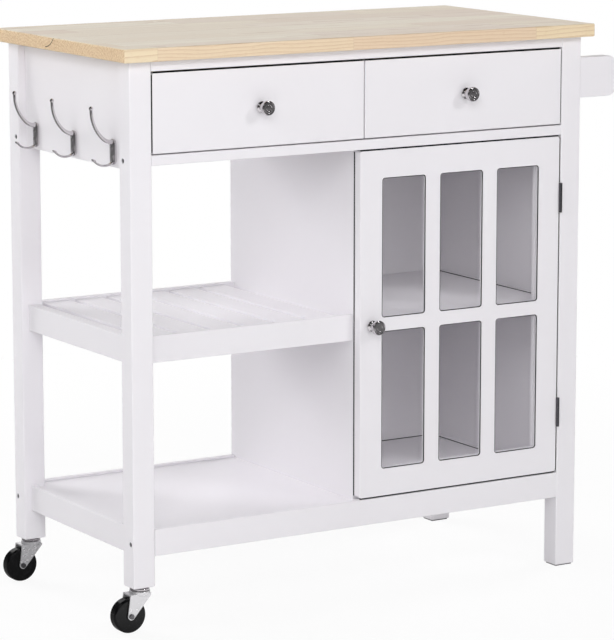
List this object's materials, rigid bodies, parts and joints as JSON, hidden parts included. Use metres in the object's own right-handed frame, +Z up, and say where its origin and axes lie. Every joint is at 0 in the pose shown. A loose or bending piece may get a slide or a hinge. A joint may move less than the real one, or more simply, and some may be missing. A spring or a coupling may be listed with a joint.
{
  "type": "kitchen cart",
  "caption": "Kitchen cart: wooden worktop on a painted frame, drawers over an open slatted bay and a glazed cabinet, side hooks, a towel rail and casters at one end.",
  "frame": {"origin": "on the floor, below the middle of the whole cart's bounding box", "axes": "+X to the right along the worktop, towards the towel rail; +Y to the back; +Z up"},
  "size_m": [0.9012, 0.425, 0.86],
  "materials": {
    "painted_wood": "satin white paint",
    "worktop_wood": "oiled finger-jointed staves",
    "natural_wood": "bare",
    "chrome": "polished",
    "zinc_steel": "bright zinc",
    "hinge_steel": "dark satin",
    "wheel_plastic": "gloss",
    "clear_glass": "clear",
    "pad_felt": "felt",
    "catch_plastic": "matte"
  },
  "bodies": {
    "cart_frame": {"worktop": "worktop_wood", "left_front_leg": "painted_wood", "left_rear_leg": "painted_wood", "right_front_leg": "painted_wood", "right_rear_leg": "painted_wood", "leg_pads": "pad_felt", "left_apron": "painted_wood", "rear_apron": "painted_wood", "right_side_panel": "painted_wood", "top_front_rail": "painted_wood", "front_drawer_rail": "painted_wood", "rear_drawer_rail": "painted_wood", "drawer_divider": "painted_wood", "bottom_front_rail": "painted_wood", "bottom_rear_rail": "painted_wood", "bottom_left_rail": "painted_wood", "bottom_shelf": "painted_wood", "mid_shelf_front_rail": "painted_wood", "mid_shelf_rear_rail": "painted_wood", "mid_shelf_left_rail": "painted_wood", "mid_shelf_slats": "painted_wood", "partition": "painted_wood", "cabinet_back": "painted_wood", "cabinet_shelf": "painted_wood", "shelf_pins": "zinc_steel", "drawer_runners": "natural_wood", "frame_bolts": "zinc_steel", "towel_brackets": "painted_wood", "towel_bar": "painted_wood", "coat_hook_front": "chrome", "coat_hook_middle": "chrome", "coat_hook_rear": "chrome", "hook_screws": "chrome", "magnetic_catch": "catch_plastic", "hinge_frame_leaves": "hinge_steel", "front_caster_stem": "zinc_steel", "rear_caster_stem": "zinc_steel"},
    "left_drawer": {"left_drawer_front": "painted_wood", "left_drawer_sides": "natural_wood", "left_drawer_back": "natural_wood", "left_drawer_bottom": "natural_wood", "left_drawer_knob": "chrome"},
    "right_drawer": {"right_drawer_front": "painted_wood", "right_drawer_sides": "natural_wood", "right_drawer_back": "natural_wood", "right_drawer_bottom": "natural_wood", "right_drawer_knob": "chrome"},
    "door": {"door_panel": "painted_wood", "door_glass": "clear_glass", "glass_beads": "painted_wood", "door_knob": "chrome", "catch_strike": "zinc_steel", "hinge_door_leaves": "hinge_steel", "hinge_pins": "hinge_steel"},
    "front_caster": {"front_caster_fork": "zinc_steel", "front_caster_axle": "zinc_steel"},
    "front_wheel": {"front_caster_wheel": "wheel_plastic"},
    "rear_caster": {"rear_caster_fork": "zinc_steel", "rear_caster_axle": "zinc_steel"},
    "rear_wheel": {"rear_caster_wheel": "wheel_plastic"}
  },
  "joints": [
    {"name": "left_drawer_slide", "type": "slide", "parent": "cart_frame", "child": "left_drawer", "axis": [0, -1, 0], "range_m": [0, 0.25]},
    {"name": "right_drawer_slide", "type": "slide", "parent": "cart_frame", "child": "right_drawer", "axis": [0, -1, 0], "range_m": [0, 0.25]},
    {"name": "door_hinge", "type": "hinge", "parent": "cart_frame", "child": "door", "pos_m": [0.33535, -0.19, 0.421], "axis": [0, 0, 1], "range_deg": [0, 170]},
    {"name": "front_caster_swivel", "type": "hinge", "parent": "cart_frame", "child": "front_caster", "pos_m": [-0.4044, -0.1715, 0.067], "axis": [0, 0, 1], "continuous": true},
    {"name": "front_wheel_spin", "type": "hinge", "parent": "front_caster", "child": "front_wheel", "pos_m": [-0.4244, -0.1715, 0.026], "axis": [0, 1, 0], "continuous": true},
    {"name": "rear_caster_swivel", "type": "hinge", "parent": "cart_frame", "child": "rear_caster", "pos_m": [-0.4044, 0.1815, 0.067], "axis": [0, 0, 1], "continuous": true},
    {"name": "rear_wheel_spin", "type": "hinge", "parent": "rear_caster", "child": "rear_wheel", "pos_m": [-0.4244, 0.1815, 0.026], "axis": [0, 1, 0], "continuous": true}
  ]
}
